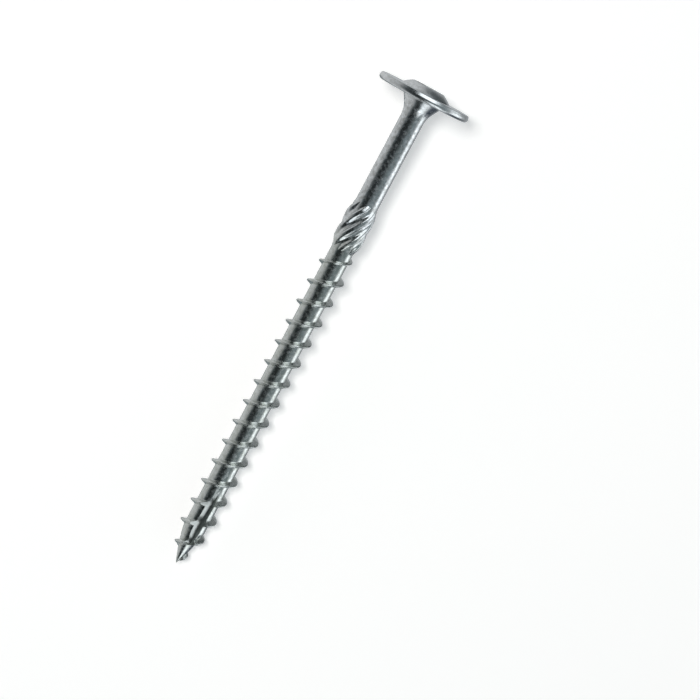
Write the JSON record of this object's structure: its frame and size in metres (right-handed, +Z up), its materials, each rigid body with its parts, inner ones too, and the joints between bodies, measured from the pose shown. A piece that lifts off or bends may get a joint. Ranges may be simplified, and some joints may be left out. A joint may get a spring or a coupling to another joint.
{
  "type": "washer-head roofing screw",
  "caption": "Washer-head wood screw for roof timbers: smooth shank with milling ribs, coarse thread, notched point and a lobed drive recess in the domed head.",
  "frame": {"origin": "centre of the underside of the bounding box: the screw lies on the rim of its washer and on a crest of its thread near the point", "axes": "+X along the screw towards the head, whose end of the axis is raised by 3.7 degrees; +Z up"},
  "size_m": [0.1232, 0.022, 0.0221],
  "materials": {
    "zinc_plated_steel": "bright blue-white zinc plating over rolled steel, slightly mottled"
  },
  "bodies": {
    "root": {"screw": "zinc_plated_steel"}
  },
  "joints": []
}
